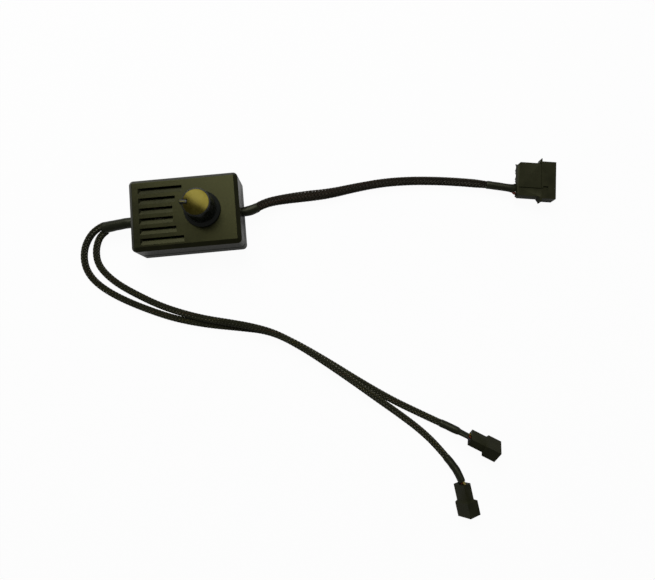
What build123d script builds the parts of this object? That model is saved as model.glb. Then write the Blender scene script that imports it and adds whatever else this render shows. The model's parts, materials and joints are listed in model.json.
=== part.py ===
import os
from math import radians, sqrt, tan

from build123d import *

os.makedirs("parts", exist_ok=True)

# Case: two moulded shells that meet at a lipped seam
case_length = 60.0
case_width = 40.0
case_height = 20.0
case_wall = 2.0
case_corner = 2.5
case_bevel = 2.0
bevel_softening = 0.6
foot_chamfer = 0.6
seam_height = 7.4
seam_gap = 0.4
lip_height = 1.8
lip_thickness = 0.9
lip_clearance = 0.1

# Case screws, driven from below into the lid's corner bosses
boss_radius = 2.6
boss_inset = 2.8
screw_radius = 1.0
screw_length = 11.0
screw_head_radius = 2.0
screw_head_height = 1.5
screw_head_sink = 2.4
screw_slot_width = 0.6
screw_slot_depth = 0.7
screw_clearance = 0.25
thread_clearance = 0.02
screw_tip_room = 0.6

# Louvred vents: ramps that sink below the lid and end in a slit
vent_count = 6
vent_pitch = 5.63
vent_shift = 0.75
vent_margin = 5.4
vent_height = 3.5
vent_depth = 1.1
vent_end_run = 1.2
vent_hood_least = 0.3
vent_slit = 0.9
vent_hood = 1.2
vent_arc_margin = 16.4
vent_arc_shift = 0.6
vent_arc_radius = 20.0

# Circuit board on four posts
board_margin_x = 6.0
board_margin_y = 3.0
board_thickness = 1.6
board_post_height = 2.0
board_post_radius = 2.2
board_pin_radius = 0.9
board_pin_rise = 0.4
board_pin_inset = 3.0
board_hole_clearance = 0.1

# Potentiometer, hung from the lid by its threaded bushing
pot_margin = 20.0
pot_plate_radius = 8.3
pot_plate_thickness = 1.2
bushing_radius = 3.5
bushing_rise = 6.5
bushing_clearance = 0.1
washer_radius = 6.0
washer_thickness = 0.5
nut_flats = 10.0
nut_thickness = 2.0
wafer_thickness = 1.2
wafer_bore_radius = 4.5
wafer_tongue_width = 13.0
wafer_tongue_reach = 11.5
can_height = 4.8
can_wall = 0.5
shaft_radius = 3.0
shaft_flat = 1.6
shaft_clearance = 0.05
shaft_rise = 14.8
wiper_radius = 6.6
wiper_thickness = 1.6
wiper_gap = 0.6
wiper_contact_gap = 0.1
wiper_contact_radius = 0.8
lug_count = 3
lug_pitch = 5.0
lug_width = 1.8
lug_thickness = 0.5
lug_start = 8.8
lug_drop = 4.2
lug_wire_radius = 0.6

# Knob with skirt, pointer ridge, inlaid cap and pointer line
knob_gap = 0.4
knob_skirt_radius = 10.0
knob_skirt_height = 1.8
knob_foot_radius = 8.2
knob_top_radius = 7.6
knob_height = 13.5
knob_edge = 0.5
knob_cavity_radius = 6.8
knob_cavity_height = 5.0
knob_bore_clearance = 0.02
knob_bore_room = 0.3
cap_radius = 7.0
cap_thickness = 0.6
cap_dome = 0.5
cap_recess = 0.4
cap_clearance = 0.04
pointer_angle = 174.0
ridge_start = 4.3
ridge_end = 8.6
ridge_width = 2.2
ridge_rise = 0.6
ridge_clearance = 0.15
line_start = 5.4
line_end = 8.2
line_width = 0.7
line_thickness = 0.3
line_recess = 0.2

# Regulator lying in a finned heat sink on the board
sink_length = 15.6
sink_width = 14.0
sink_base = 1.5
sink_wall = 1.5
sink_height = 7.4
sink_slot = 1.6
sink_slot_count = 3
sink_slot_floor = 1.2
sink_margin = 8.0
sink_shift = 4.0
tab_length = 15.2
tab_width = 10.0
tab_thickness = 1.3
tab_hole_inset = 3.4
regulator_length = 9.0
regulator_height = 3.2
leg_pitch = 2.54
leg_width = 0.8
leg_thickness = 0.5
leg_clearance = 0.9
leg_rise = 1.1
sink_screw_radius = 1.45
sink_screw_head = 2.7
sink_screw_head_height = 1.8
sink_screw_clearance = 0.15
sink_nut_flats = 5.5
sink_nut_thickness = 1.5

# Loose parts on the board
capacitor_radius = 3.15
capacitor_height = 7.0
capacitor_edge = 0.5
capacitor_groove = 0.25
capacitor_spacing = 8.0
capacitor_margin = 12.5
capacitor_shift = 8.5
resistor_radius = 1.15
resistor_length = 6.3
resistor_spacing = 4.0
diode_radius = 1.35
diode_length = 5.0
axial_span = 10.0
axial_lead_radius = 0.3
axial_gap = 0.1
axial_first = 4.5

# Leads: diameters of braid, sleeve and wire
power_lead_diameter = 5.0
power_sleeve_diameter = 5.2
power_plug_sleeve_diameter = 4.4
power_wire_radius = 0.8
power_wire_run = 1.2
fan_lead_diameter = 3.8
fan_sleeve_diameter = 6.0
fan_sleeve_end_width = 6.6
fan_sleeve_end_height = 6.8
fan_plug_sleeve_diameter = 4.4
fan_neck_width = 4.1
fan_neck_thickness = 2.4
fan_wire_radius = 0.65
fan_wire_run = 0.7
wire_bend = 1.6
feed_wire_radius = 0.7
feed_wire_end_inset = 1.0
power_feed_spacing = 2.0
fan_feed_spacing = 1.7
exit_clearance = 0.05

# Routes of the leads, each measured from the wall of the case that it leaves
power_route = [
    (-4, 0, seam_height), (4.2, 0, seam_height), (12.2, 4.9, 5.0), (22.5, 6.9, 2.9), (35, 7.3, 2.8),
    (50, 7.7, 2.7), (66, 10.0, 2.6), (82, 11.5, 2.5), (98, 11.2, 2.5), (114, 9.6, 2.5),
    (128, 7.5, 2.5), (138, 5.5, 2.8), (146.4, 3.3, 3.7), (154.3, 0.9, 4.6),
]
fan_exit_route = [(4, 0, seam_height), (-4.5, 0, seam_height), (-12.5, -0.5, 6.5), (-19.5, -1.0, 5.3)]
fan_1_route = [
    (-20.2, -0.2, 6.5), (-23.85, -1.35, 5.75), (-28.8, -5.0, 4.4), (-33.2, -11.6, 2.5), (-33.7, -20.4, 1.9),
    (-30.2, -28.5, 1.9), (-23.0, -35.8, 1.9), (-12.5, -42.8, 1.9), (1.0, -49.8, 1.9), (16.3, -56.5, 1.9),
    (34.1, -61.6, 1.9), (52.1, -65.0, 1.9), (68.5, -68.4, 1.9), (82.0, -75.8, 1.9), (99.8, -88.2, 1.9),
    (117.0, -101.2, 1.9), (133.4, -112.7, 1.9), (145.8, -120.1, 1.9), (155.4, -125.7, 2.2),
    (162.4, -129.6, 3.6), (167.6, -132.6, 5.0), (171.9, -135.3, 6.1),
]
fan_2_route = [
    (-19.98, -3.19, 3.95), (-22.6, -4.6, 3.5), (-25.4, -8.6, 2.6), (-26.8, -14.6, 2.0), (-25.7, -21.2, 1.9),
    (-21.6, -27.4, 1.9), (-14.6, -34.0, 1.9), (-5.0, -40.5, 1.9), (7.6, -48.0, 2.0), (21.0, -53.9, 3.2),
    (34.4, -58.5, 4.4), (47.6, -61.8, 5.1), (60.4, -65.3, 5.6), (73.0, -70.2, 5.75), (87.0, -79.4, 5.75),
    (100.5, -90.0, 5.75), (114.0, -101.2, 5.6), (126.2, -111.7, 4.6), (136.4, -120.4, 2.4),
    (145.6, -128.6, 1.9), (152.8, -136.2, 1.9), (158.2, -143.4, 2.1), (161.9, -149.0, 3.4),
    (164.8, -153.9, 5.0), (165.86, -158.2, 6.0),
]

# Power plug: 4-way peripheral housing, two ways filled, placed from the wall that its lead leaves
power_plug_rear = (157.6, 4.9)
power_plug_yaw = -9.3
power_plug_length = 22.5
power_plug_collar = 14.2
power_plug_width = 21.9
power_plug_height = 9.4
power_plug_chamfer = 2.6
power_plug_rear_width = 19.8
power_plug_rear_height = 8.4
power_plug_rear_chamfer = 1.6
power_plug_undercut_length = 3.0
power_plug_undercut_height = 4.8
power_plug_ear_reach = 1.8
power_plug_ear_ramp = 1.3
power_plug_ear_tip = 0.4
power_plug_ear_height = 5.0
power_plug_wall = 1.2
power_plug_depth = 9.8
power_plug_cavity_radius = 1.75
power_plug_cavity_depth = 8.8
power_plug_groove = 0.5
power_plug_latch_start = 1.1
power_plug_latch_length = 2.9
power_plug_latch_width = 2.6
power_plug_latch_depth = 0.8
power_barrel_radius = 2.15
power_barrel_reach = 0.7
power_pitch = 5.08
power_pin_radius = 1.05
power_pin_collar_radius = 1.6
power_pin_start = 3.0
power_pin_end = 20.8
power_pin_clearance = 0.1
power_wire_entry = 0.5

# Fan plugs: 3-way housings with a wider shroud, each rolled on to an edge
fan_plug_rear_length = 9.3
fan_plug_rear_width = 7.8
fan_plug_rear_height = 4.8
fan_plug_shroud_length = 7.5
fan_plug_shroud_width = 9.4
fan_plug_shroud_height = 7.3
fan_plug_top_step = 0.9
fan_plug_shoulder = 0.9
fan_plug_wall = 0.9
fan_plug_depth = 6.6
fan_plug_slot = 1.5
fan_plug_slot_length = 5.0
fan_plug_entry_depth = 1.6
fan_pitch = 2.54
fan_pin_width = 0.64
fan_pin_end = 15.4
fan_barrel_radius = 0.8
fan_barrel_start = 2.5
fan_barrel_end = 6.5
fan_barrel_clearance = 0.05
fan_wire_spread = 1.4
fan_wire_entry = 1.2
fan_plugs = {"fan_plug_1": (173.43, -136.26, -31.9, -51.7), "fan_plug_2": (166.03, -159.92, -84.3, 61.0)}

# Levels and places that follow from the sizes above
seam_low = seam_height - seam_gap / 2
seam_high = seam_height + seam_gap / 2
lip_top = seam_high + lip_height
power_wall = case_length / 2
fan_wall = -case_length / 2
lid_under = case_height - case_wall
board_length = case_length - 2 * (case_wall + board_margin_x)
board_width = case_width - 2 * (case_wall + board_margin_y)
board_low = case_wall + board_post_height
board_top = board_low + board_thickness
pot_x = case_length / 2 - pot_margin
plate_low = lid_under - pot_plate_thickness
wafer_low = plate_low - wafer_thickness
can_low = wafer_low - can_height
wiper_top = wafer_low - wiper_gap
shaft_top = lid_under + shaft_rise
knob_low = case_height + knob_gap
knob_top = knob_low + knob_height
ridge_top = knob_top + ridge_rise
sink_x = fan_wall + case_wall + sink_margin
tab_low = board_top + sink_base
tab_top = tab_low + tab_thickness
sink_screw_x = sink_x + tab_hole_inset
sink_hole_radius = sink_screw_radius + sink_screw_clearance
power_ways = [(way - 1.5) * power_pitch for way in range(4)]
power_filled = power_ways[:2]
fan_ways = [(way - 1) * fan_pitch for way in range(3)]
fan_plug_top = fan_plug_rear_height / 2 + fan_plug_top_step
fan_plug_low = fan_plug_top - fan_plug_shroud_height
fan_bore_radius = fan_barrel_radius + fan_barrel_clearance


def four_corners(x, y):
    return [(sx * x, sy * y) for sx in (-1, 1) for sy in (-1, 1)]


def slab(length, width, corner, low, high):
    return Pos(0, 0, low) * extrude(RectangleRounded(length, width, corner), high - low)


def shell_block(inset, low, high):
    corner = max(case_corner - inset, 0.5)
    return slab(case_length - 2 * inset, case_width - 2 * inset, corner, low, high)


def rod(radius, low, high, x=0.0, y=0.0):
    return Pos(x, y, low) * extrude(Circle(radius), high - low)


def hex_rod(flats, low, high, x=0.0, y=0.0):
    return Pos(x, y, low) * extrude(RegularPolygon(flats / 2, 6, major_radius=False), high - low)


def bar(x0, x1, y0, y1, z0, z1):
    return Pos((x0 + x1) / 2, (y0 + y1) / 2, (z0 + z1) / 2) * Box(x1 - x0, y1 - y0, z1 - z0)


def lead_holes():
    reach = 2 * case_wall
    power = Pos(power_wall - reach / 2, 0, seam_height) * Rot(0, 90, 0)
    fan = Pos(fan_wall + reach / 2, 0, seam_height) * Rot(0, 90, 0)
    power_hole = power * Cylinder(power_sleeve_diameter / 2 + exit_clearance, 2 * reach)
    fan_hole = fan * Cylinder(fan_sleeve_diameter / 2 + exit_clearance, 2 * reach)
    return [power_hole, fan_hole]


def boss_places():
    reach = case_wall + boss_inset
    return four_corners(case_length / 2 - reach, case_width / 2 - reach)


def vent_rows():
    left = -case_length / 2 + vent_margin
    arc_x = case_length / 2 - vent_arc_margin
    for row in range(vent_count):
        y = vent_shift + ((vent_count - 1) / 2 - row) * vent_pitch
        right = arc_x - sqrt(vent_arc_radius**2 - (y - vent_arc_shift) ** 2)
        yield left, right, y


def along_x(outline, left, right):
    face = Plane.YZ * make_face(Polyline(*outline, close=True))
    return Pos(left, 0, 0) * extrude(face, right - left)


def vent_cut(left, right, y):
    deep = case_height - vent_depth
    below = lid_under - vent_depth
    over = case_height + case_wall
    outline = [
        (y, over), (y, below), (y - vent_slit, below), (y - vent_slit, deep),
        (y - vent_height, case_height), (y - vent_height, over),
    ]
    end = left + vent_end_run
    length = Polyline(
        (left, over), (left, case_height), (end, deep), (end, below), (right, below), (right, over),
        close=True,
    )
    return along_x(outline, left, right) & extrude(Plane.XZ * make_face(length), case_width, both=True)


def vent_hood_rib(left, right, y):
    slope = vent_depth / (vent_height - vent_slit)
    start = min(case_height - vent_depth - vent_hood, lid_under - vent_hood_least)
    foot = y - vent_slit
    outline = [(foot, start), (foot, lid_under), (foot - (lid_under - start) / slope, lid_under)]
    return along_x(outline, left, right)


def top_cover():
    block = shell_block(0, seam_high, case_height)
    block = chamfer(block.faces().sort_by(Axis.Z)[-1].edges(), case_bevel)
    soft = [e for e in block.edges() if e.center().Z > lid_under - 0.01 and abs((e % 0).Z) < 0.01]
    block = fillet(soft, bevel_softening)
    cover = block - shell_block(case_wall, seam_high, lid_under)
    for x, y in boss_places():
        cover += rod(boss_radius, seam_high, lid_under, x, y) & shell_block(lip_clearance, seam_high, lid_under)
    ring = shell_block(case_wall - lip_thickness - lip_clearance, seam_high, lip_top)
    cover -= ring - shell_block(case_wall + lip_clearance, seam_high, lip_top)
    for x, y in boss_places():
        depth = screw_head_sink + screw_length + screw_tip_room
        cover -= rod(screw_radius + thread_clearance, seam_high, depth, x, y)
    for row in vent_rows():
        cover += vent_hood_rib(*row)
    for row in vent_rows():
        cover -= vent_cut(*row)
    cover -= rod(bushing_radius + bushing_clearance, lid_under, case_height, pot_x)
    for hole in lead_holes():
        cover -= hole
    return cover


def board_pin_places():
    return four_corners(board_length / 2 - board_pin_inset, board_width / 2 - board_pin_inset)


def bottom_cover():
    cover = shell_block(0, 0, seam_low)
    cover = chamfer(cover.faces().sort_by(Axis.Z)[0].edges(), foot_chamfer)
    cover += shell_block(case_wall - lip_thickness, seam_low, lip_top)
    cover -= shell_block(case_wall, case_wall, lip_top)
    for x, y in boss_places():
        cover += rod(boss_radius, case_wall, seam_high, x, y) & shell_block(case_wall / 2, case_wall, seam_high)
    for x, y in boss_places():
        cover -= rod(screw_radius + screw_clearance, 0, seam_high, x, y)
        cover -= rod(screw_head_radius + screw_clearance, 0, screw_head_sink, x, y)
    for x, y in board_pin_places():
        cover += rod(board_post_radius, case_wall, board_low, x, y)
        cover += rod(board_pin_radius, board_low, board_top + board_pin_rise, x, y)
    for hole in lead_holes():
        cover -= hole
    return cover


def case_screws():
    low = screw_head_sink - screw_head_height
    reach = 2 * screw_head_radius
    screws = []
    for x, y in boss_places():
        screw = rod(screw_head_radius, low, screw_head_sink, x, y)
        screw += rod(screw_radius, screw_head_sink, screw_head_sink + screw_length, x, y)
        slot = Pos(x, y, low) * Box(reach, screw_slot_width, 2 * screw_slot_depth)
        screws.append(screw - slot)
    return Compound(screws)


def circuit_board():
    board = bar(-board_length / 2, board_length / 2, -board_width / 2, board_width / 2, board_low, board_top)
    for x, y in board_pin_places():
        board -= rod(board_pin_radius + board_hole_clearance, board_low, board_top, x, y)
    return board - rod(sink_hole_radius, board_low, board_top, sink_screw_x, sink_shift)


def potentiometer_bushing():
    bushing = rod(pot_plate_radius, plate_low, lid_under, pot_x)
    bushing += rod(bushing_radius, lid_under, lid_under + bushing_rise, pot_x)
    return bushing - rod(shaft_radius + shaft_clearance, plate_low, lid_under + bushing_rise, pot_x)


def potentiometer_washer():
    washer = rod(washer_radius, case_height, case_height + washer_thickness, pot_x)
    return washer - rod(bushing_radius + bushing_clearance, case_height, case_height + washer_thickness, pot_x)


def potentiometer_nut():
    low = case_height + washer_thickness
    nut = hex_rod(nut_flats, low, low + nut_thickness, pot_x)
    return nut - rod(bushing_radius + thread_clearance, low, low + nut_thickness, pot_x)


def potentiometer_wafer():
    wafer = rod(pot_plate_radius, wafer_low, plate_low, pot_x)
    half = wafer_tongue_width / 2
    wafer += bar(pot_x - half, pot_x + half, -wafer_tongue_reach, 0, wafer_low, plate_low)
    return wafer - rod(wafer_bore_radius, wafer_low, plate_low, pot_x)


def potentiometer_can():
    can = rod(pot_plate_radius, can_low, wafer_low, pot_x)
    can = chamfer(can.faces().sort_by(Axis.Z)[0].edges(), can_wall)
    return can - rod(pot_plate_radius - can_wall, can_low + can_wall, wafer_low, pot_x)


def lug_places():
    return [pot_x + (lug - (lug_count - 1) / 2) * lug_pitch for lug in range(lug_count)]


def potentiometer_lugs():
    lugs = []
    for x in lug_places():
        x0 = x - lug_width / 2
        x1 = x + lug_width / 2
        front = -wafer_tongue_reach
        lug = bar(x0, x1, front - lug_thickness, -lug_start, wafer_low - lug_thickness, wafer_low)
        lug += bar(x0, x1, front - lug_thickness, front, wafer_low - lug_drop, wafer_low)
        lugs.append(lug)
    return Compound(lugs)


def lug_wires():
    y = -wafer_tongue_reach - lug_thickness / 2
    return Compound([rod(lug_wire_radius, board_top, wafer_low - lug_drop, x, y) for x in lug_places()])


def shaft_section(clearance):
    radius = shaft_radius + clearance
    flat = Pos(shaft_flat + clearance + radius, 0) * Rectangle(2 * radius, 4 * radius)
    return Circle(radius) - flat


def potentiometer_shaft():
    bottom = wiper_top - wiper_thickness
    round_top = lid_under + bushing_rise + knob_gap
    shaft = rod(shaft_radius, bottom, round_top, pot_x)
    return shaft + Pos(pot_x, 0, round_top) * extrude(shaft_section(0), shaft_top - round_top)


def potentiometer_wiper():
    low = wiper_top - wiper_thickness
    wiper = rod(wiper_radius, low, wiper_top, pot_x)
    reach = wiper_radius - 2 * wiper_contact_radius
    wiper += rod(wiper_contact_radius, wiper_top, wafer_low - wiper_contact_gap, pot_x - reach)
    return wiper - rod(shaft_radius + knob_bore_clearance, low, wiper_top, pot_x)


def toward_pointer(x0, x1, width, z0, z1):
    return Pos(pot_x, 0, 0) * Rot(0, 0, pointer_angle) * bar(x0, x1, -width / 2, width / 2, z0, z1)


def knob():
    skirt_top = knob_low + knob_skirt_height
    profile = Polyline(
        (0, knob_low), (knob_skirt_radius, knob_low), (knob_skirt_radius, skirt_top - knob_edge),
        (knob_skirt_radius - knob_edge, skirt_top), (knob_foot_radius, skirt_top),
        (knob_top_radius, knob_top - knob_edge), (knob_top_radius - knob_edge, knob_top), (0, knob_top),
        close=True,
    )
    body = Pos(pot_x, 0, 0) * revolve(Plane.XZ * make_face(profile), Axis.Z)
    body -= rod(cap_radius + cap_clearance, knob_top - cap_recess, knob_top, pot_x)
    body += toward_pointer(ridge_start, ridge_end, ridge_width, knob_top - cap_recess - knob_edge, ridge_top)
    body += toward_pointer(ridge_start, ridge_end, ridge_width, skirt_top, ridge_top)
    body -= toward_pointer(line_start, line_end, line_width, ridge_top - line_recess, ridge_top)
    body -= rod(knob_cavity_radius, knob_low, knob_low + knob_cavity_height, pot_x)
    bore_low = knob_low + knob_cavity_height
    bore = extrude(shaft_section(knob_bore_clearance), shaft_top + knob_bore_room - bore_low)
    return body - Pos(pot_x, 0, bore_low) * bore


def knob_cap():
    low = knob_top - cap_recess
    rim = low + cap_thickness
    profile = make_face(
        [
            Polyline((0, rim + cap_dome), (0, low), (cap_radius, low), (cap_radius, rim)),
            ThreePointArc((cap_radius, rim), (cap_radius / 2, rim + 0.75 * cap_dome), (0, rim + cap_dome)),
        ]
    )
    cap = Pos(pot_x, 0, 0) * revolve(Plane.XZ * profile, Axis.Z)
    width = ridge_width + 2 * ridge_clearance
    notch = toward_pointer(ridge_start - ridge_clearance, ridge_end, width, low, rim + 2 * cap_dome)
    return cap - notch


def knob_pointer():
    low = ridge_top - line_recess
    side = line_width - 2 * cap_clearance
    return toward_pointer(line_start + cap_clearance, line_end - cap_clearance, side, low, low + line_thickness)


def heat_sink():
    x0 = sink_x
    x1 = sink_x + sink_length
    half = sink_width / 2
    top = board_top + sink_height
    sink = bar(x0, x1, sink_shift - half, sink_shift + half, board_top, top)
    sink -= bar(x0, x1, sink_shift - half + sink_wall, sink_shift + half - sink_wall, tab_low, top)
    step = sink_length / (sink_slot_count + 1)
    for slot in range(sink_slot_count):
        x = x0 + (slot + 1) * step
        low = tab_low + sink_slot_floor
        sink -= bar(x - sink_slot / 2, x + sink_slot / 2, sink_shift - half, sink_shift + half, low, top)
    return sink - rod(sink_hole_radius, board_top, tab_low, sink_screw_x, sink_shift)


def regulator_tab():
    tab = bar(sink_x, sink_x + tab_length, sink_shift - tab_width / 2, sink_shift + tab_width / 2, tab_low, tab_top)
    return tab - rod(sink_hole_radius, tab_low, tab_top, sink_screw_x, sink_shift)


def regulator_body():
    x1 = sink_x + tab_length
    half = tab_width / 2
    top = tab_top + regulator_height
    return bar(x1 - regulator_length, x1, sink_shift - half, sink_shift + half, tab_top, top)


def regulator_legs():
    x0 = sink_x + tab_length
    x1 = sink_x + max(sink_length, tab_length) + leg_clearance + leg_thickness
    top = tab_top + leg_rise
    legs = []
    for leg in range(3):
        y = sink_shift + (leg - 1) * leg_pitch
        part = bar(x0, x1, y - leg_width / 2, y + leg_width / 2, top - leg_thickness, top)
        part += bar(x1 - leg_thickness, x1, y - leg_width / 2, y + leg_width / 2, board_top, top)
        legs.append(part)
    return Compound(legs)


def heat_sink_screw():
    screw = rod(sink_screw_head, tab_top, tab_top + sink_screw_head_height, sink_screw_x, sink_shift)
    return screw + rod(sink_screw_radius, board_low - sink_nut_thickness, tab_top, sink_screw_x, sink_shift)


def heat_sink_nut():
    low = board_low - sink_nut_thickness
    nut = hex_rod(sink_nut_flats, low, board_low, sink_screw_x, sink_shift)
    return nut - rod(sink_screw_radius + thread_clearance, low, board_low, sink_screw_x, sink_shift)


def capacitor(place):
    x = -case_length / 2 + case_wall + capacitor_margin + place * capacitor_spacing
    y = -capacitor_shift
    can = rod(capacitor_radius, board_top, board_top + capacitor_height, x, y)
    can = chamfer(can.faces().sort_by(Axis.Z)[-1].edges(), capacitor_edge)
    low = board_top + 2 * capacitor_edge
    ring = rod(capacitor_radius, low, low + capacitor_edge, x, y)
    return can - (ring - rod(capacitor_radius - capacitor_groove, low, low + capacitor_edge, x, y))


def axial_part(radius, length, x, y):
    rise = radius + axial_gap
    half = axial_span / 2
    path = Polyline((-half, 0, 0), (-half, 0, rise), (half, 0, rise), (half, 0, 0))
    part = sweep(Pos(-half, 0, 0) * Circle(axial_lead_radius), path, transition=Transition.RIGHT)
    part += Pos(0, 0, rise) * Rot(0, 90, 0) * Cylinder(radius, length)
    return Pos(x, y, board_top) * part


def resistors():
    return Compound(
        [axial_part(resistor_radius, resistor_length, pot_x, axial_first + n * resistor_spacing) for n in range(2)]
    )


def rectifier_diode():
    return axial_part(diode_radius, diode_length, pot_x, axial_first - resistor_spacing)


def feed_wires(route_start, board_edge, offsets):
    x0, y0, z0 = route_start
    wires = []
    for offset in offsets:
        y = y0 + offset
        path = Polyline((x0, y, z0), (board_edge, y, z0), (board_edge, y, board_top))
        section = Plane(path @ 0, z_dir=path % 0) * Circle(feed_wire_radius)
        wires.append(sweep(section, path, transition=Transition.RIGHT))
    return Compound(wires)


def from_wall(wall, route):
    return [(wall + x, y, z) for x, y, z in route]


def route_radii(points):
    radii = []
    for before, corner, after in zip(points, points[1:], points[2:]):
        into = Vector(*corner) - Vector(*before)
        out = Vector(*after) - Vector(*corner)
        turn = into.get_angle(out)
        radii.append(0.45 * min(into.length, out.length) / tan(radians(turn / 2)))
    return radii


def middle(a, b):
    return tuple((p + q) / 2 for p, q in zip(a, b))


def tube(points, radii, diameter):
    path = FilletPolyline(*points, radius=radii) if radii else Line(*points)
    return sweep(Plane(path @ 0, z_dir=path % 0) * Circle(diameter / 2), path)


def split_route(name, route, first, last):
    radii = route_radii(route)
    print(name, "arc radii", [round(r, 1) for r in radii])
    head_cut = middle(route[first], route[first + 1])
    tail_cut = middle(route[last], route[last + 1])
    head = (route[: first + 1] + [head_cut], radii[:first])
    body = ([head_cut] + route[first + 1 : last + 1] + [tail_cut], radii[first:last])
    tail = ([tail_cut] + route[last + 1 :], radii[last:])
    return head, body, tail


def power_plug_place():
    x, y = power_plug_rear
    return Pos(power_wall + x, y, power_plug_height / 2) * Rot(0, 0, power_plug_yaw)


def plug_block(width, height, cut, x0, x1):
    y = width / 2
    z = height / 2
    outline = [(-y, z), (y, z), (y, cut - z), (y - cut, -z), (cut - y, -z), (-y, cut - z)]
    return along_x(outline, x0, x1)


def power_plug_rear_block():
    start = power_barrel_reach
    block = plug_block(power_plug_rear_width, power_plug_rear_height, power_plug_chamfer, start, power_plug_collar)
    corners = block.edges().filter_by(Axis.Z).group_by(Axis.X)[0]
    block = chamfer(corners, power_plug_rear_chamfer)
    low = -power_plug_rear_height / 2
    outline = Polyline(
        (start, low), (start, low + power_plug_undercut_height), (start + power_plug_undercut_length, low),
        close=True,
    )
    block -= extrude(Plane.XZ * make_face(outline), power_plug_width, both=True)
    for y in power_ways:
        reach = start + power_plug_undercut_length
        block += Pos(0, y, 0) * Rot(0, 90, 0) * rod(power_barrel_radius, 0, reach)
    return block


def power_plug_ear(side):
    inner = side * power_plug_rear_width / 2
    outer = side * (power_plug_width / 2 + power_plug_ear_reach)
    x1 = power_plug_collar
    x2 = power_plug_collar + power_plug_ear_tip
    outline = Polyline((x1 - power_plug_ear_ramp, inner), (x1, outer), (x2, outer), (x2, inner), close=True)
    low = power_plug_height / 2 - power_plug_ear_height
    return Pos(0, 0, low) * extrude(make_face(outline), power_plug_ear_height, dir=(0, 0, 1))


def power_plug_housing():
    top = power_plug_height / 2
    housing = power_plug_rear_block()
    housing += plug_block(power_plug_width, power_plug_height, power_plug_chamfer, power_plug_collar, power_plug_length)
    for side in (-1, 1):
        housing += power_plug_ear(side)
    housing -= plug_block(
        power_plug_width - 2 * power_plug_wall,
        power_plug_height - 2 * power_plug_wall,
        power_plug_chamfer - power_plug_wall / 2,
        power_plug_length - power_plug_depth,
        power_plug_length,
    )
    for y in power_ways:
        across = Pos(0, y, 0) * Rot(0, 90, 0)
        housing -= across * rod(power_plug_cavity_radius, 0, power_plug_cavity_depth)
        housing -= across * rod(power_pin_radius + power_pin_clearance, 0, power_plug_length)
    y = (power_filled[0] + power_filled[1]) / 2
    half = power_plug_groove / 2
    latch = power_plug_collar + power_plug_latch_start
    latch_half = power_plug_latch_width / 2
    rear_top = power_plug_rear_height / 2
    housing -= bar(power_plug_rear_chamfer, power_plug_collar, y - half, y + half, rear_top - power_plug_groove, top)
    housing -= bar(power_plug_collar, latch, y - half, y + half, top - power_plug_groove, top)
    x1 = latch + power_plug_latch_length
    housing -= bar(latch, x1, y - latch_half, y + latch_half, top - power_plug_latch_depth, top)
    return power_plug_place() * housing


def power_plug_pins():
    pins = []
    for y in power_filled:
        pin = rod(power_pin_collar_radius, power_pin_start, power_plug_cavity_depth)
        tip = rod(power_pin_radius, power_plug_cavity_depth, power_pin_end)
        tip = chamfer(tip.faces().sort_by(Axis.Z)[-1].edges(), power_pin_radius / 2)
        pins.append(power_plug_place() * Pos(0, y, 0) * Rot(0, 90, 0) * (pin + tip))
    return Compound(pins)


def plug_wire(place, start, start_run, entry, end, radius):
    points = [start, start + start_run, (place * Pos(*entry)).position, (place * Pos(*end)).position]
    radii = [min(wire_bend, bend) for bend in route_radii([tuple(point) for point in points])]
    return tube(points, radii, 2 * radius)


def route_end(route):
    end = Vector(*route[-1])
    return end, (end - Vector(*route[-2])).normalized()


def row_direction(place, direction):
    across = (place * Pos(0, 1, 0)).position - place.position
    return (across - direction * across.dot(direction)).normalized()


def power_wires(route):
    place = power_plug_place()
    start, direction = route_end(route)
    across = row_direction(place, direction)
    wires = []
    for way, y in zip((-1, 1), power_filled):
        begin = start + across * (way * (power_wire_radius + exit_clearance))
        entry = (power_wire_entry, y, 0)
        end = (power_pin_start, y, 0)
        wires.append(plug_wire(place, begin, direction * power_wire_run, entry, end, power_wire_radius))
    return wires


def fan_plug_place(name):
    x, y, yaw, roll = fan_plugs[name]
    turned = Rot(roll, 0, 0)
    half = fan_plug_shroud_width / 2
    drop = min((turned * Pos(0, side * half, fan_plug_low)).position.Z for side in (-1, 1))
    return Pos(fan_wall + x, y, -drop) * Rot(0, 0, yaw) * turned


def fan_plug_housing(name):
    top = fan_plug_rear_height / 2
    half = fan_plug_shroud_width / 2
    rear_half = fan_plug_rear_width / 2
    step = fan_plug_rear_length
    length = fan_plug_rear_length + fan_plug_shroud_length
    ramp = step - fan_plug_shoulder
    plan = Polyline(
        (0, -rear_half), (ramp, -rear_half), (step, -half), (length, -half),
        (length, half), (step, half), (ramp, rear_half), (0, rear_half), close=True,
    )
    side = Polyline(
        (0, top), (ramp, top), (step, fan_plug_top), (length, fan_plug_top),
        (length, fan_plug_low), (step, fan_plug_low), (ramp, -top), (0, -top), close=True,
    )
    housing = extrude(Plane.XY * make_face(plan), 2 * fan_plug_shroud_height, both=True)
    housing &= extrude(Plane.XZ * make_face(side), fan_plug_shroud_width, both=True)
    floor = length - fan_plug_depth
    wall = fan_plug_wall
    housing -= bar(floor, length, wall - half, half - wall, fan_plug_low + wall, fan_plug_top - wall)
    for y in fan_ways:
        housing -= Pos(0, y, 0) * Rot(0, 90, 0) * rod(fan_bore_radius, 0, floor)
    reach = fan_pitch + fan_bore_radius
    housing -= bar(0, fan_plug_entry_depth, -reach, reach, -fan_bore_radius, fan_bore_radius)
    for side_way in (-1, 1):
        y = side_way * fan_pitch
        x0 = length - fan_plug_slot_length
        housing -= bar(x0, length, y - fan_plug_slot / 2, y + fan_plug_slot / 2, fan_plug_low, fan_plug_low + wall)
    return fan_plug_place(name) * housing


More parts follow.
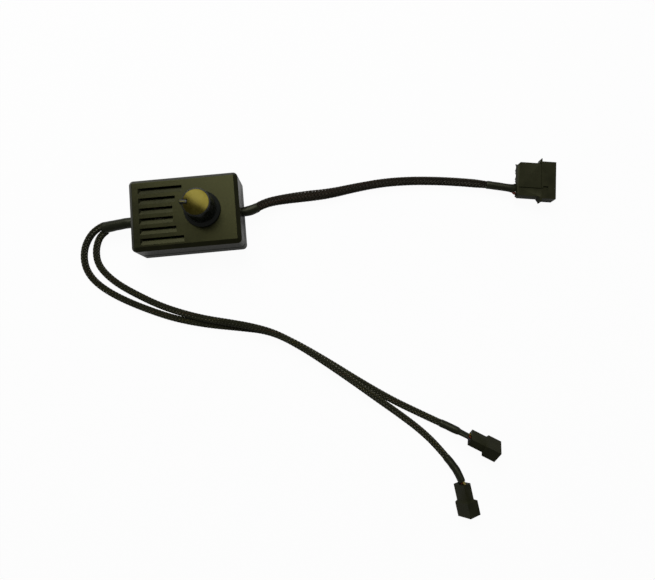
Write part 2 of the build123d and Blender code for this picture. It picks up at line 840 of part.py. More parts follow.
def fan_plug_pins(name):
    half = fan_pin_width / 2
    pins = []
    for y in fan_ways:
        barrel = Pos(0, y, 0) * Rot(0, 90, 0) * rod(fan_barrel_radius, fan_barrel_start, fan_barrel_end)
        blade = bar(fan_barrel_end, fan_pin_end, y - half, y + half, -half, half)
        pins.append(fan_plug_place(name) * (barrel + blade))
    return Compound(pins)


def fan_plug_wires(name, route):
    place = fan_plug_place(name)
    start, direction = route_end(route)
    across = row_direction(place, direction)
    wires = []
    for way, y in zip((-1, 0, 1), fan_ways):
        begin = start + across * (way * fan_wire_spread)
        entry = (fan_wire_entry, y, 0)
        end = (fan_barrel_start, y, 0)
        wires.append(plug_wire(place, begin, direction * fan_wire_run, entry, end, fan_wire_radius))
    return wires


def fan_neck(name, route):
    end, direction = route_end(route)
    across = row_direction(fan_plug_place(name), direction)
    section = Plane(route[-2], x_dir=across, z_dir=direction) * Ellipse(fan_neck_width / 2, fan_neck_thickness / 2)
    return extrude(section, (end - Vector(*route[-2])).length)


def fan_exit_sleeve(route):
    radii = route_radii(route)
    cut = middle(route[-2], route[-1])
    body = tube(route[:-1] + [cut], radii, fan_sleeve_diameter)
    end, direction = route_end(route)
    across = direction.cross(Vector(0, 0, 1)).normalized()
    near = Plane(cut, x_dir=across, z_dir=direction) * Circle(fan_sleeve_diameter / 2)
    far = Plane(end, x_dir=across, z_dir=direction) * Ellipse(fan_sleeve_end_width / 2, fan_sleeve_end_height / 2)
    return body + loft([near, far])


def save(node, shape):
    shape.label = node
    export_step(shape, f"parts/{node}.step")


save("top_cover", top_cover())
save("bottom_cover", bottom_cover())
save("case_screws", case_screws())
save("circuit_board", circuit_board())
save("potentiometer_bushing", potentiometer_bushing())
save("potentiometer_washer", potentiometer_washer())
save("potentiometer_nut", potentiometer_nut())
save("potentiometer_wafer", potentiometer_wafer())
save("potentiometer_can", potentiometer_can())
save("potentiometer_lugs", potentiometer_lugs())
save("potentiometer_shaft", potentiometer_shaft())
save("potentiometer_wiper", potentiometer_wiper())
save("lug_wires", lug_wires())
save("knob", knob())
save("knob_cap", knob_cap())
save("knob_pointer", knob_pointer())
save("heat_sink", heat_sink())
save("heat_sink_screw", heat_sink_screw())
save("heat_sink_nut", heat_sink_nut())
save("regulator_tab", regulator_tab())
save("regulator_body", regulator_body())
save("regulator_legs", regulator_legs())
save("input_capacitor", capacitor(0))
save("output_capacitor", capacitor(1))
save("resistors", resistors())
save("rectifier_diode", rectifier_diode())

board_end = board_length / 2 - feed_wire_end_inset
power_offsets = [way * power_feed_spacing / 2 for way in (-1, 1)]
fan_offsets = [way * fan_feed_spacing for way in (-1, 0, 1)]
power_line = from_wall(power_wall, power_route)
fan_exit_line = from_wall(fan_wall, fan_exit_route)
save("power_feed_wires", feed_wires(power_line[0], board_end, power_offsets))
save("fan_feed_wires", feed_wires(fan_exit_line[0], -board_end, fan_offsets))

power_head, power_body, power_tail = split_route("power lead", power_line, 1, len(power_line) - 3)
save("power_exit_sleeve", tube(*power_head, power_sleeve_diameter))
save("power_lead", tube(*power_body, power_lead_diameter))
save("power_plug_sleeve", tube(*power_tail, power_plug_sleeve_diameter))
save("power_plug_housing", power_plug_housing())
save("power_plug_pins", power_plug_pins())
for colour, wire in zip(("red", "black"), power_wires(power_line)):
    save(f"power_wire_{colour}", wire)

print("fan exit sleeve arc radii", [round(r, 1) for r in route_radii(fan_exit_line)])
save("fan_exit_sleeve", fan_exit_sleeve(fan_exit_line))
for number, route, sleeve_runs, neck in ((1, fan_1_route, 3, True), (2, fan_2_route, 3, False)):
    plug = f"fan_plug_{number}"
    line = from_wall(fan_wall, route)
    all_radii = route_radii(line)
    print(f"fan lead {number} arc radii", [round(r, 1) for r in all_radii])
    cut_at = len(line) - 1 - sleeve_runs
    cut = middle(line[cut_at], line[cut_at + 1])
    save(f"fan_lead_{number}", tube(line[: cut_at + 1] + [cut], all_radii[:cut_at], fan_lead_diameter))
    if neck:
        sleeve = tube([cut] + line[cut_at + 1 : -1], all_radii[cut_at:-1], fan_plug_sleeve_diameter)
        sleeve += fan_neck(plug, line)
    else:
        sleeve = tube([cut] + line[cut_at + 1 :], all_radii[cut_at:], fan_plug_sleeve_diameter)
    save(f"fan_lead_{number}_sleeve", sleeve)
    save(f"{plug}_housing", fan_plug_housing(plug))
    save(f"{plug}_pins", fan_plug_pins(plug))
    for colour, wire in zip(("black", "red", "yellow"), fan_plug_wires(plug, line)):
        save(f"{plug}_wire_{colour}", wire)
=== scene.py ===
import json
import math
import random

import bmesh
import bpy
import numpy as np
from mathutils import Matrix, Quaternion, Vector


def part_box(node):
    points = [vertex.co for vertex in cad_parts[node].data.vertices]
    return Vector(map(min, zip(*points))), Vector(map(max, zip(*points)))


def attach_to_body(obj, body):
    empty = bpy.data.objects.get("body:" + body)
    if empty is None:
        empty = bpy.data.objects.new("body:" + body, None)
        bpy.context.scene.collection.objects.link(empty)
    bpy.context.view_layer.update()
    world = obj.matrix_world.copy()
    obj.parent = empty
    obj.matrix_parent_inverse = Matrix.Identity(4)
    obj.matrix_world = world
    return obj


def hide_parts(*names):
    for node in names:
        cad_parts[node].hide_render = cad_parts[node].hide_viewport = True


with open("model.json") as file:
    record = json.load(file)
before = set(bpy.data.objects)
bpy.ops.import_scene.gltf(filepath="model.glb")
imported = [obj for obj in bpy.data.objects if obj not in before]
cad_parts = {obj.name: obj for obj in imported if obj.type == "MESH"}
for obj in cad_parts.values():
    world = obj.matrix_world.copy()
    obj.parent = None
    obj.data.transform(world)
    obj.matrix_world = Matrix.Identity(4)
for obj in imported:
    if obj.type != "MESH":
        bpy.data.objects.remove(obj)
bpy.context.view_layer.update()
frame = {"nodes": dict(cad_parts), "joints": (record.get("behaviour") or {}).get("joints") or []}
nodes = frame["nodes"]
mm = 0.001
print("frame loaded with", len(nodes), "nodes")


class Flow:  # a socket whose sums become Math nodes
    def __init__(self, graph, socket):
        self.graph = graph
        self.socket = socket

    def sums(self, operation, first, second):
        return self.graph.node("ShaderNodeMath", {"operation": operation}, {0: first, 1: second})

    def __add__(self, other):
        return self.sums("ADD", self, other)

    def __sub__(self, other):
        return self.sums("SUBTRACT", self, other)

    def __rsub__(self, other):
        return self.sums("SUBTRACT", other, self)

    def __mul__(self, other):
        return self.sums("MULTIPLY", self, other)

    __radd__ = __add__
    __rmul__ = __mul__


class Graph:  # a node tree, filled through one method
    def __init__(self, tree):
        self.tree = tree

    def feed(self, socket, value):
        if isinstance(value, Flow):
            self.tree.links.new(value.socket, socket)
        else:
            socket.default_value = value

    def node(self, kind, settings, sockets, output=0):
        made = self.tree.nodes.new(kind)
        for name, value in settings.items():
            setattr(made, name, value)
        for name, value in sockets.items():
            self.feed(made.inputs[name], value)
        return Flow(self, made.outputs[output])


class Paint(Graph):  # a material and its Principled shader
    def __init__(self, name, **look):
        self.material = bpy.data.materials.new(name)
        self.material.use_nodes = True
        super().__init__(self.material.node_tree)
        self.shader = next(n for n in self.tree.nodes if n.type == "BSDF_PRINCIPLED")
        self.wear(look)

    def wear(self, look):
        for name, value in look.items():
            self.feed(self.shader.inputs[name], value)

    def surface(self):
        return Flow(self, self.shader.outputs[0])

    def shown(self, surface):
        output = next(n for n in self.tree.nodes if n.type == "OUTPUT_MATERIAL")
        self.feed(output.inputs["Surface"], surface)

    def place(self):
        return self.node("ShaderNodeTexCoord", {}, {}, "Object")

    def grain(self, size, detail=2.0):
        sockets = {"Vector": self.place(), "Scale": 1 / size, "Detail": detail}
        return self.node("ShaderNodeTexNoise", {}, sockets)

    def ranged(self, value, low, high, start, end):
        return self.node("ShaderNodeMapRange", {}, {0: value, 1: low, 2: high, 3: start, 4: end})

    def mixed(self, factor, first, second):
        return self.node("ShaderNodeMix", {"data_type": "RGBA"}, {0: factor, 6: first, 7: second}, 2)

    def bumped(self, height, distance):
        return self.node("ShaderNodeBump", {}, {"Height": height, "Distance": distance, "Strength": 1.0})


# Camera, at the photograph's place and lens
cameraLook = {
    "place": (0.070482, -0.080951, 0.280960), "turn": (6.708, -0.077, -5.382),
    "lens": 27.03, "sensor": 36, "nearest": 0.01,
}


def addCamera():
    data = bpy.data.cameras.new("camera")
    data.sensor_fit = "HORIZONTAL"
    data.sensor_width = cameraLook["sensor"]
    data.lens = cameraLook["lens"]
    data.clip_start = cameraLook["nearest"]
    camera = bpy.data.objects.new("camera", data)
    camera.location = cameraLook["place"]
    camera.rotation_euler = [math.radians(a) for a in cameraLook["turn"]]
    bpy.context.scene.collection.objects.link(camera)
    bpy.context.scene.camera = camera


addCamera()
print("camera set")


# Meshes
def addPiece(name, points, faces, material, smoothAngle=40):
    mesh = bpy.data.meshes.new(name)
    mesh.from_pydata([tuple(p) for p in points], [], faces)
    mesh.update()
    mesh.shade_smooth()
    mesh.set_sharp_from_angle(angle=math.radians(smoothAngle))
    piece = bpy.data.objects.new(name, mesh)
    bpy.context.scene.collection.objects.link(piece)
    mesh.materials.append(material)
    return piece


def ringFaces(ringCount, ringSize, first=0):  # quads between neighbouring rings, with both ends capped
    faces = []
    for ring in range(ringCount - 1):
        a = first + ring * ringSize
        b = a + ringSize
        for k in range(ringSize):
            n = (k + 1) % ringSize
            faces.append((a + k, a + n, b + n, b + k))
    faces.append(tuple(first + k for k in reversed(range(ringSize))))
    last = first + (ringCount - 1) * ringSize
    faces.append(tuple(last + k for k in range(ringSize)))
    return faces


def attach(piece, body="case", replaced=()):
    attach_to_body(piece, body)
    if replaced:
        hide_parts(*replaced)
    return piece


# Finishes
def shaded(colour, share):
    return tuple(c * share for c in colour[:3]) + (1,)


mouldLook = {"grainDetail": 3.0, "patchSpread": (0.35, 0.65), "grainRough": 0.12, "patchRough": 0.1}


def mouldedPlastic(name, look):
    paint = Paint(name, **{"IOR": look["ior"], "Specular Tint": look["tint"]})
    fine = paint.grain(look["grain"], mouldLook["grainDetail"])
    broad = paint.grain(look["patch"])
    patches = paint.ranged(broad, *mouldLook["patchSpread"], 0.0, 1.0)
    colour = paint.mixed(patches, look["dark"], look["light"])
    rough = look["rough"] + (fine - 0.5) * mouldLook["grainRough"] + (broad - 0.5) * mouldLook["patchRough"]
    normal = paint.bumped(fine, look["depth"])
    paint.wear({"Base Color": colour, "Roughness": rough, "Normal": normal})
    if "seam" in look:  # painted shadow where the shells meet: a dull near-black band mixed in at the seam's height
        height = paint.node("ShaderNodeSeparateXYZ", {}, {0: paint.place()}, "Z")
        away = paint.node("ShaderNodeMath", {"operation": "ABSOLUTE"}, {0: height - look["seam"]})
        shade = paint.ranged(away, *look["seamShadowBand"], 1.0, 0.0)
        # near-black diffuse shader that paints the shadow in the seam
        dull = paint.node("ShaderNodeBsdfDiffuse", {}, {"Color": look["seamShadowColour"]})
        paint.shown(paint.node("ShaderNodeMixShader", {}, {0: shade, 1: paint.surface(), 2: dull}))
    return paint.material


glossLook = {
    "ior": 1.33, "black": (0.0045, 0.0058, 0.0042, 1), "dust": (0.03, 0.03, 0.022, 1), "dustShare": 0.5,
    "smearSize": 3.0 * mm, "smearDetail": 3.0, "smearSpread": (0.35, 0.7), "dustSize": 0.25 * mm, "dustDetail": 1.0,
    "dustSpread": (0.68, 0.8), "rough": 0.2, "smearRough": 0.16, "dustRough": 0.2, "depth": 0.01 * mm,
}


def glossKnob():
    look = glossLook
    paint = Paint("glossKnob", IOR=look["ior"])
    smear = paint.grain(look["smearSize"], look["smearDetail"])
    dust = paint.ranged(paint.grain(look["dustSize"], look["dustDetail"]), *look["dustSpread"], 0.0, 1.0)
    colour = paint.mixed(dust * look["dustShare"], look["black"], look["dust"])
    smeared = paint.ranged(smear, *look["smearSpread"], 0.0, look["smearRough"])
    rough = look["rough"] + smeared + dust * look["dustRough"]
    paint.wear({"Base Color": colour, "Roughness": rough, "Normal": paint.bumped(smear, look["depth"])})
    return paint.material


goldLook = {
    "dark": (0.045, 0.037, 0.0065, 1), "light": (0.06, 0.05, 0.011, 1), "stainSize": 4 * mm, "stainDetail": 3.0,
    "stainSpread": (0.35, 0.7), "ringPace": 9000, "ringDetail": 2.0, "rough": 0.2, "ringRough": 0.1,
    "stainRough": 0.08, "depth": 0.006 * mm,
}


def turnedGold(axis):  # satin metal with fine rings about the knob's axis
    look = goldLook
    paint = Paint("turnedGold", Metallic=1.0)
    fromAxis = {0: paint.place(), 1: (axis.x, axis.y, 0)}
    centred = paint.node("ShaderNodeVectorMath", {"operation": "SUBTRACT"}, fromAxis)
    flat = paint.node("ShaderNodeVectorMath", {"operation": "MULTIPLY"}, {0: centred, 1: (1, 1, 0)})
    reach = paint.node("ShaderNodeVectorMath", {"operation": "LENGTH"}, {0: flat}, "Value")
    turning = {"W": reach, "Scale": look["ringPace"], "Detail": look["ringDetail"]}
    rings = paint.node("ShaderNodeTexNoise", {"noise_dimensions": "1D"}, turning)
    stain = paint.grain(look["stainSize"], look["stainDetail"])
    stained = paint.ranged(stain, *look["stainSpread"], 0.0, 1.0)
    rough = look["rough"] + (rings - 0.5) * look["ringRough"] + (stain - 0.5) * look["stainRough"]
    paint.wear({
        "Base Color": paint.mixed(stained, look["dark"], look["light"]),
        "Roughness": rough,
        "Normal": paint.bumped(rings, look["depth"]),
    })
    return paint.material


tubingLook = {
    "ior": 1.3, "tint": (1, 1, 0.7, 1), "dark": (0.006, 0.0072, 0.0037, 1), "light": (0.012, 0.0137, 0.0072, 1),
    "lumpSize": 1.4 * mm, "lumpDetail": 3.0, "grain": 0.2 * mm, "lumpShare": 0.8, "grainShare": 0.2,
    "rough": 0.4, "lumpRough": 0.25, "grainRough": 0.1, "depth": 0.12 * mm,
}


def shrinkTubing():
    look = tubingLook
    paint = Paint("shrinkTubing", **{"IOR": look["ior"], "Specular Tint": look["tint"]})
    lumps = paint.grain(look["lumpSize"], look["lumpDetail"])
    fine = paint.grain(look["grain"])
    colour = paint.mixed(lumps, look["dark"], look["light"])
    rough = look["rough"] + (lumps - 0.5) * look["lumpRough"] + (fine - 0.5) * look["grainRough"]
    normal = paint.bumped(lumps * look["lumpShare"] + fine * look["grainShare"], look["depth"])
    paint.wear({"Base Color": colour, "Roughness": rough, "Normal": normal})
    return paint.material


filamentLook = {
    "ior": 1.38, "tint": (1, 0.98, 0.75, 1), "streakSize": 0.5 * mm, "patchSize": 9 * mm, "streakShare": 0.6,
    "patchShare": 0.4, "spread": (0.35, 0.65), "rough": 0.3, "patchRough": 0.2, "depth": 0.02 * mm,
}


def filament(name, dark, light):
    look = filamentLook
    paint = Paint(name, **{"IOR": look["ior"], "Specular Tint": look["tint"]})
    streak = paint.grain(look["streakSize"])
    patch = paint.grain(look["patchSize"])
    shares = streak * look["streakShare"] + patch * look["patchShare"]
    colour = paint.mixed(paint.ranged(shares, *look["spread"], 0.0, 1.0), dark, light)
    rough = look["rough"] + (patch - 0.5) * look["patchRough"]
    paint.wear({"Base Color": colour, "Roughness": rough, "Normal": paint.bumped(streak, look["depth"])})
    return paint.material


skinLook = {"ior": 1.4, "mottleSize": 0.6 * mm, "shade": 0.7, "rough": 0.4, "mottleRough": 0.2, "depth": 0.02 * mm}


def wireSkin(name, colour):
    look = skinLook
    paint = Paint(name, IOR=look["ior"])
    mottle = paint.grain(look["mottleSize"])
    paint.wear({
        "Base Color": paint.mixed(mottle, shaded(colour, look["shade"]), colour),
        "Roughness": look["rough"] + (mottle - 0.5) * look["mottleRough"],
        "Normal": paint.bumped(mottle, look["depth"]),
    })
    return paint.material


platingLook = {
    "drawnSize": 0.3 * mm, "drawnDetail": 3.0, "patchSize": 2.5 * mm, "worn": 0.7, "drawnRough": 0.2,
    "depth": 0.01 * mm,
}


def platedMetal(name, colour, rough):
    look = platingLook
    paint = Paint(name, Metallic=1.0)
    drawn = paint.grain(look["drawnSize"], look["drawnDetail"])
    patch = paint.grain(look["patchSize"])
    paint.wear({
        "Base Color": paint.mixed(patch, shaded(colour, look["worn"]), colour),
        "Roughness": rough + (drawn - 0.5) * look["drawnRough"],
        "Normal": paint.bumped(drawn, look["depth"]),
    })
    return paint.material


caseLook = {
    "dark": (0.005, 0.0055, 0.0033, 1), "light": (0.0085, 0.009, 0.0042, 1), "tint": (1, 1, 0.42, 1),
    "ior": 1.28, "rough": 0.29, "grain": 0.22 * mm, "patch": 9 * mm, "depth": 0.008 * mm,
    # the seam entries paint a dark band of shadow along the join of the shells
    "seam": 7.4 * mm, "seamShadowBand": (0.4 * mm, 0.65 * mm), "seamShadowColour": (0.002, 0.002, 0.0015, 1),
}
plugLook = {
    "dark": (0.009, 0.0095, 0.004, 1), "light": (0.0135, 0.014, 0.006, 1), "tint": (1, 1, 0.6, 1),
    "ior": 1.25, "rough": 0.44, "grain": 0.35 * mm, "patch": 5 * mm, "depth": 0.012 * mm,
}
chipLook = dict(plugLook, rough=0.6, grain=0.15 * mm)
boardLook = dict(chipLook, dark=(0.01, 0.07, 0.025, 1), light=(0.02, 0.12, 0.045, 1))
laminateLook = dict(chipLook, dark=(0.12, 0.05, 0.02, 1), light=(0.2, 0.1, 0.045, 1))
resistorLook = dict(chipLook, dark=(0.4, 0.27, 0.13, 1), light=(0.52, 0.38, 0.21, 1))
canLook = dict(chipLook, dark=(0.012, 0.014, 0.04, 1), light=(0.02, 0.024, 0.06, 1))
casePlastic = mouldedPlastic("casePlastic", caseLook)
plugPlastic = mouldedPlastic("plugPlastic", plugLook)
chipPlastic = mouldedPlastic("chipPlastic", chipLook)
boardMask = mouldedPlastic("boardMask", boardLook)
brownLaminate = mouldedPlastic("brownLaminate", laminateLook)
resistorCoat = mouldedPlastic("resistorCoat", resistorLook)
canSleeve = mouldedPlastic("canSleeve", canLook)
blackAnodised = platedMetal("blackAnodised", (0.05, 0.05, 0.05, 1), 0.45)
tinned = platedMetal("tinned", (0.62, 0.6, 0.56, 1), 0.3)
nickelled = platedMetal("nickelled", (0.6, 0.58, 0.52, 1), 0.28)
turnedAluminium = platedMetal("turnedAluminium", (0.7, 0.7, 0.7, 1), 0.35)
paleInlay = platedMetal("paleInlay", (0.075, 0.068, 0.026, 1), 0.42)
dullZinc = platedMetal("dullZinc", (0.16, 0.15, 0.13, 1), 0.6)
shrink = shrinkTubing()
powerFilament = filament("powerFilament", (0.009, 0.0068, 0.0042, 1), (0.022, 0.0165, 0.011, 1))
fanFilament = filament("fanFilament", (0.009, 0.0095, 0.004, 1), (0.02, 0.021, 0.009, 1))
wireColours = {
    "red": (0.14, 0.024, 0.011, 1), "black": (0.006, 0.006, 0.005, 1), "yellow": (0.2, 0.15, 0.018, 1),
}
wirePaints = {name: wireSkin(name + "Wire", colour) for name, colour in wireColours.items()}
print("finishes made")

# CAD nodes that keep their own shape
nodePaints = {
    "top_cover": casePlastic, "bottom_cover": casePlastic, "case_screws": nickelled, "circuit_board": boardMask,
    "potentiometer_bushing": nickelled, "potentiometer_washer": nickelled, "potentiometer_nut": nickelled,
    "potentiometer_can": dullZinc, "potentiometer_lugs": dullZinc, "potentiometer_wafer": brownLaminate,
    "potentiometer_wiper": brownLaminate, "potentiometer_shaft": turnedAluminium, "lug_wires": dullZinc,
    "knob_pointer": paleInlay, "heat_sink": blackAnodised, "heat_sink_screw": dullZinc,
    "heat_sink_nut": dullZinc, "regulator_tab": dullZinc, "regulator_legs": tinned, "regulator_body": chipPlastic,
    "input_capacitor": canSleeve, "output_capacitor": canSleeve, "resistors": resistorCoat,
    "rectifier_diode": chipPlastic, "power_feed_wires": wirePaints["black"], "fan_feed_wires": wirePaints["black"],
    "power_plug_pins": tinned, "fan_plug_1_pins": tinned, "fan_plug_2_pins": tinned,
    "power_plug_housing": plugPlastic, "fan_plug_1_housing": plugPlastic, "fan_plug_2_housing": plugPlastic,
    "power_wire_red": wirePaints["red"], "power_wire_black": wirePaints["black"],
}
for plug in ("fan_plug_1", "fan_plug_2"):
    for colour in ("black", "red", "yellow"):
        nodePaints[f"{plug}_wire_{colour}"] = wirePaints[colour]


def paintNode(node, material):
    mesh = nodes[node].data
    mesh.materials.clear()
    mesh.materials.append(material)


for node, material in nodePaints.items():
    paintNode(node, material)


# Wire barrels of the power plug, trimmed to the slope of its undercut
barrelLook = {
    "rear": (187.6, 4.9, 4.7), "yaw": -9.3, "face": 0.7, "slopeTop": 0.6, "slope": 0.625, "proud": 0.25,
    "slack": 0.05,
}


def trimBarrels(shape):
    yaw = math.radians(barrelLook["yaw"])
    along = Vector((math.cos(yaw), math.sin(yaw), 0))
    rear = Vector(barrelLook["rear"]) * mm
    for vertex in shape.verts:
        reach = (vertex.co - rear).dot(along) / mm
        if abs(reach) < barrelLook["slack"]:
            drop = max(0, barrelLook["slopeTop"] - (vertex.co.z - rear.z) / mm)
            target = barrelLook["face"] - barrelLook["proud"] + drop * barrelLook["slope"]
            vertex.co += along * ((target - reach) * mm)


# Edges of moulded pieces, rounded from the CAD solid's own mesh
edgeLook = {"width": 0.18 * mm, "segments": 2, "angle": 32, "merged": 0.002 * mm, "flat": 0.5}


def softened(node, material):
    mesh = nodes[node].data.copy()
    mesh.name = node + "_soft"
    shape = bmesh.new()
    shape.from_mesh(mesh)
    if node == "power_plug_housing":
        trimBarrels(shape)
    bmesh.ops.remove_doubles(shape, verts=shape.verts, dist=edgeLook["merged"])
    flat = math.radians(edgeLook["flat"])
    bmesh.ops.dissolve_limit(shape, angle_limit=flat, verts=shape.verts, edges=shape.edges)
    shape.to_mesh(mesh)
    shape.free()
    mesh.materials.clear()
    mesh.materials.append(material)
    piece = bpy.data.objects.new(node + "_soft", mesh)
    bpy.context.scene.collection.objects.link(piece)
    edge = piece.modifiers.new("softEdge", "BEVEL")
    edge.width = edgeLook["width"]
    edge.segments = edgeLook["segments"]
    edge.limit_method = "ANGLE"
    edge.angle_limit = math.radians(edgeLook["angle"])
    edge.use_clamp_overlap = True
    mesh.shade_smooth()
    mesh.set_sharp_from_angle(angle=math.radians(edgeLook["angle"]))
    return attach(piece, "case", [node])


plugPieces = {}
for node in ("power_plug_housing", "fan_plug_1_housing", "fan_plug_2_housing"):
    plugPieces[node] = softened(node, plugPlastic)
print("plugs softened")

# Knob
knobLook = {
    "skirtRadius": 10.0, "skirtRim": 0.8, "skirtHeight": 1.8, "footRadius": 8.2, "topRadius": 7.6, "edge": 0.5,
    "hollowRadius": 6.8, "hollowHeight": 5.0, "recessRadius": 7.04, "recess": 0.4,
    "hollowEdge": 0.2, "skirtFootEdge": 0.25, "skirtRimEdge": 0.3, "skirtTopEdge": 0.35,
    "ridge": (4.3, 8.6), "ridgeWidth": 2.2, "ridgeRise": 0.6, "ridgeEdge": 0.5, "ridgeSegments": 5,
    "line": (5.4, 8.2), "lineWidth": 0.7, "turn": 174.0, "steps": 128, "segments": 4,
    "sharpAngle": 30,
}
capLook = {
    "radius": 7.0, "thickness": 0.6, "dome": 0.5, "edge": 0.25, "ridgeGap": 0.15, "steps": 128, "domeRings": 10,
}


def filletedProfile(corners, segments):  # (radius, height, rounding) corners into a rounded outline
    outline = []
    for index, (x, z, rounding) in enumerate(corners):
        here = Vector((x, z))
        if not rounding:
            outline.append(here)
            continue
        back = (Vector(corners[index - 1][:2]) - here).normalized()
        ahead = (Vector(corners[index + 1][:2]) - here).normalized()
        half = back.angle(ahead) / 2
        centre = here + (back + ahead).normalized() * (rounding / math.sin(half))
        start = here + back * (rounding / math.tan(half)) - centre
        end = here + ahead * (rounding / math.tan(half)) - centre
        for step in range(segments + 1):
            share = step / segments
            outline.append(centre + (start * (1 - share) + end * share).normalized() * rounding)
    return outline


def lathed(name, outline, axis, steps, material):  # the outline starts and ends on the axis
    points = [(axis.x, axis.y, outline[0].y)]
    for corner in outline[1:-1]:
        for step in range(steps):
            turn = 2 * math.pi * step / steps
            points.append((axis.x + corner.x * math.cos(turn), axis.y + corner.x * math.sin(turn), corner.y))
    points.append((axis.x, axis.y, outline[-1].y))
    rings = len(outline) - 2
    faces = []
    for step in range(steps):
        after = (step + 1) % steps
        faces.append((0, 1 + after, 1 + step))
        for ring in range(rings - 1):
            a = 1 + ring * steps
            b = a + steps
            faces.append((a + step, a + after, b + after, b + step))
        last = 1 + (rings - 1) * steps
        faces.append((last + step, last + after, len(points) - 1))
    return addPiece(name, points, faces, material, knobLook["sharpAngle"])


# A bar from the knob's axis towards its pointer
def pointerBar(name, axis, reach, width, low, high, rounding, material):
    shape = bmesh.new()
    bmesh.ops.create_cube(shape, size=1.0)
    turn = math.radians(knobLook["turn"])
    start, end = reach
    for vertex in shape.verts:
        x = start + (vertex.co.x + 0.5) * (end - start)
        y = vertex.co.y * width
        z = low + (vertex.co.z + 0.5) * (high - low)
        vertex.co = (
            axis.x + x * math.cos(turn) - y * math.sin(turn), axis.y + x * math.sin(turn) + y * math.cos(turn), z,
        )
    shape.normal_update()
    if rounding:
        edges = {"geom": shape.edges[:], "offset": rounding, "segments": knobLook["ridgeSegments"]}
        bmesh.ops.bevel(shape, profile=0.5, affect="EDGES", **edges)
    mesh = bpy.data.meshes.new(name)
    shape.to_mesh(mesh)
    shape.free()
    mesh.materials.append(material)
    bar = bpy.data.objects.new(name, mesh)
    bpy.context.scene.collection.objects.link(bar)
    return bar


def combined(piece, tool, operation):
    change = piece.modifiers.new("combine", "BOOLEAN")
    change.operation = operation
    change.solver = "MANIFOLD"
    change.object = tool
    bpy.context.view_layer.update()
    mesh = bpy.data.meshes.new_from_object(piece.evaluated_get(bpy.context.evaluated_depsgraph_get()))
    piece.modifiers.clear()
    piece.data = mesh
    bpy.data.objects.remove(tool)
    mesh.shade_smooth()
    mesh.set_sharp_from_angle(angle=math.radians(knobLook["sharpAngle"]))
    return piece


def buildKnob():
    low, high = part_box("knob")
    hinge = frame["joints"][0]["pos_m"]
    axis = Vector((hinge[0], hinge[1], 0))
    s = {key: value * mm for key, value in knobLook.items() if isinstance(value, float)}
    top = high.z - s["ridgeRise"]
    base = top - s["recess"]
    skirtTop = low.z + s["skirtHeight"]
    ceiling = low.z + s["hollowHeight"]
    corners = [
        (0, ceiling, 0), (s["hollowRadius"], ceiling, 0), (s["hollowRadius"], low.z, s["hollowEdge"]),
        (s["skirtRadius"], low.z, s["skirtFootEdge"]),
        (s["skirtRadius"], low.z + s["skirtRim"], s["skirtRimEdge"]),
        (s["footRadius"], skirtTop, s["skirtTopEdge"]), (s["topRadius"], top, s["edge"]),
        (s["recessRadius"], top, 0), (s["recessRadius"], base, 0), (0, base, 0),
    ]
    gloss = glossKnob()
    shell = lathed("knob_shell", filletedProfile(corners, knobLook["segments"]), axis, knobLook["steps"], gloss)
    ridge = [r * mm for r in knobLook["ridge"]]
    bar = pointerBar("ridge", axis, ridge, s["ridgeWidth"], skirtTop, high.z, s["ridgeEdge"], gloss)
    combined(shell, bar, "UNION")
    line = [r * mm for r in knobLook["line"]]
    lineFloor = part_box("knob_pointer")[0].z
    groove = pointerBar("groove", axis, line, s["lineWidth"], lineFloor, high.z + mm, 0, gloss)
    combined(shell, groove, "DIFFERENCE")
    attach(shell, "knob", ["knob"])
    c = {key: value * mm for key, value in capLook.items() if isinstance(value, float)}
    rim = base + c["thickness"]
    outline = [Vector((0, base)), Vector((c["radius"], base)), Vector((c["radius"], rim - c["edge"]))]
    for ring in range(capLook["domeRings"] + 1):
        share = 1 - ring / capLook["domeRings"]
        x = (c["radius"] - c["edge"]) * share
        outline.append(Vector((x, rim + c["dome"] * (1 - share * share))))
    gold = turnedGold(axis)
    cap = lathed("knob_cap_dome", outline, axis, capLook["steps"], gold)
    gap = c["ridgeGap"]
    clear = (ridge[0] - gap, ridge[1])
    notch = pointerBar("notch", axis, clear, s["ridgeWidth"] + 2 * gap, base - mm, rim + mm, 0, gold)
    combined(cap, notch, "DIFFERENCE")
    attach(cap, "knob", ["knob_cap"])


buildKnob()
print("knob made")

